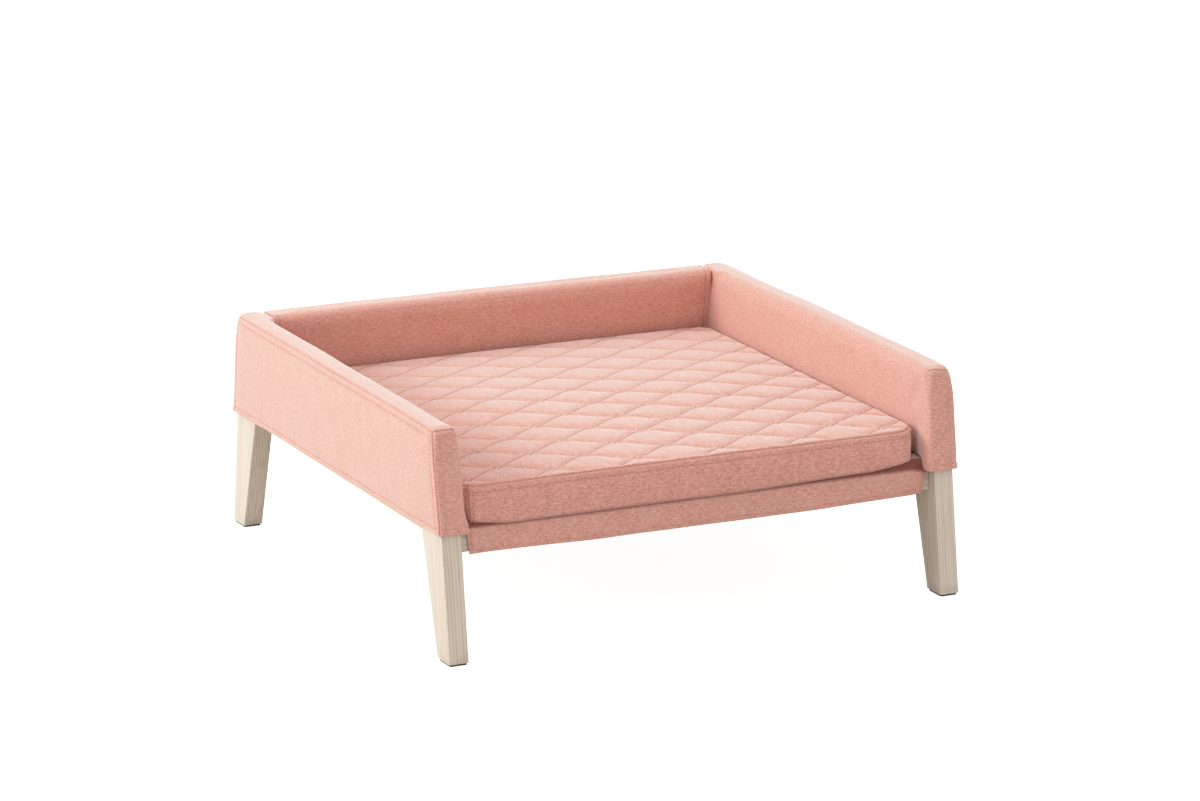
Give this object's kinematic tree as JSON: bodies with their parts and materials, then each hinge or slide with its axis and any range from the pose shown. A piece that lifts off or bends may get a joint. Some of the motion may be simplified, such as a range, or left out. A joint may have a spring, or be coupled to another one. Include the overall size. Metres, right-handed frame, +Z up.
{
  "type": "dog bed with frame",
  "caption": "Square low pet bed: splayed wooden legs, upholstered back and side panels with an open front, slatted deck and a loose quilted mattress with a zipped cover.",
  "frame": {"origin": "on the floor, under the middle of the bed", "axes": "+X to the right as seen from the open front, +Y from the open front to the back panel, +Z up"},
  "size_m": [0.7604, 0.7492, 0.3102],
  "materials": {
    "ash": "white-oiled planed ash, open grain",
    "pine": "sanded, unfinished",
    "board": "thin pressed board, raw",
    "cover_cloth": "melange woven upholstery cloth, matt",
    "deck_cloth": "plain woven cloth, matt",
    "wadding": "white polyester wadding",
    "foam": "open-cell foam, matt",
    "steel": "zinc plated",
    "felt": "pressed felt",
    "zip_tape": "woven tape with a nylon coil",
    "zip_metal": "die-cast, satin"
  },
  "bodies": {
    "frame": {"leg_front_left": "ash", "foot_pad_front_left": "felt", "leg_front_right": "ash", "foot_pad_front_right": "felt", "leg_rear_left": "ash", "foot_pad_rear_left": "felt", "leg_rear_right": "ash", "foot_pad_rear_right": "felt", "side_top_rail_left": "pine", "side_bottom_rail_left": "pine", "side_board_outer_left": "board", "side_board_inner_left": "board", "padding_left": "wadding", "cover_left": "cover_cloth", "deck_ledger_left": "pine", "bolt_front_left": "steel", "barrel_nut_front_left": "steel", "bolt_back_low_left": "steel", "barrel_nut_back_low_left": "steel", "bolt_back_top_left": "steel", "barrel_nut_back_top_left": "steel", "side_top_rail_right": "pine", "side_bottom_rail_right": "pine", "side_board_outer_right": "board", "side_board_inner_right": "board", "padding_right": "wadding", "cover_right": "cover_cloth", "deck_ledger_right": "pine", "bolt_front_right": "steel", "barrel_nut_front_right": "steel", "bolt_back_low_right": "steel", "barrel_nut_back_low_right": "steel", "bolt_back_top_right": "steel", "barrel_nut_back_top_right": "steel", "back_top_rail": "pine", "back_bottom_rail": "pine", "back_board_outer": "board", "back_board_inner": "board", "padding_back": "wadding", "cover_back": "cover_cloth", "front_rail": "ash", "front_band": "cover_cloth", "deck_cloth": "deck_cloth", "slat_1": "pine", "slat_2": "pine", "slat_3": "pine", "slat_4": "pine", "slat_5": "pine", "slat_6": "pine", "slat_7": "pine", "slat_8": "pine"},
    "mattress": {"mattress_foam": "foam", "mattress_cover": "cover_cloth", "mattress_zip_chain": "zip_tape"},
    "zip_slider": {"mattress_zip_slider": "zip_metal"},
    "zip_pull": {"mattress_zip_pull": "zip_metal"}
  },
  "joints": [
    {"name": "mattress_lift", "type": "slide", "parent": "frame", "child": "mattress", "axis": [0, -0.1318, 0.9913], "range_m": [0, 0.25]},
    {"name": "zip_slide", "type": "slide", "parent": "mattress", "child": "zip_slider", "axis": [1, 0, 0], "range_m": [-0.46, 0]},
    {"name": "zip_pull_flip", "type": "hinge", "parent": "zip_slider", "child": "zip_pull", "pos_m": [0.232, 0.30515, 0.199], "axis": [0, 0, 1], "range_deg": [0, 170]}
  ]
}
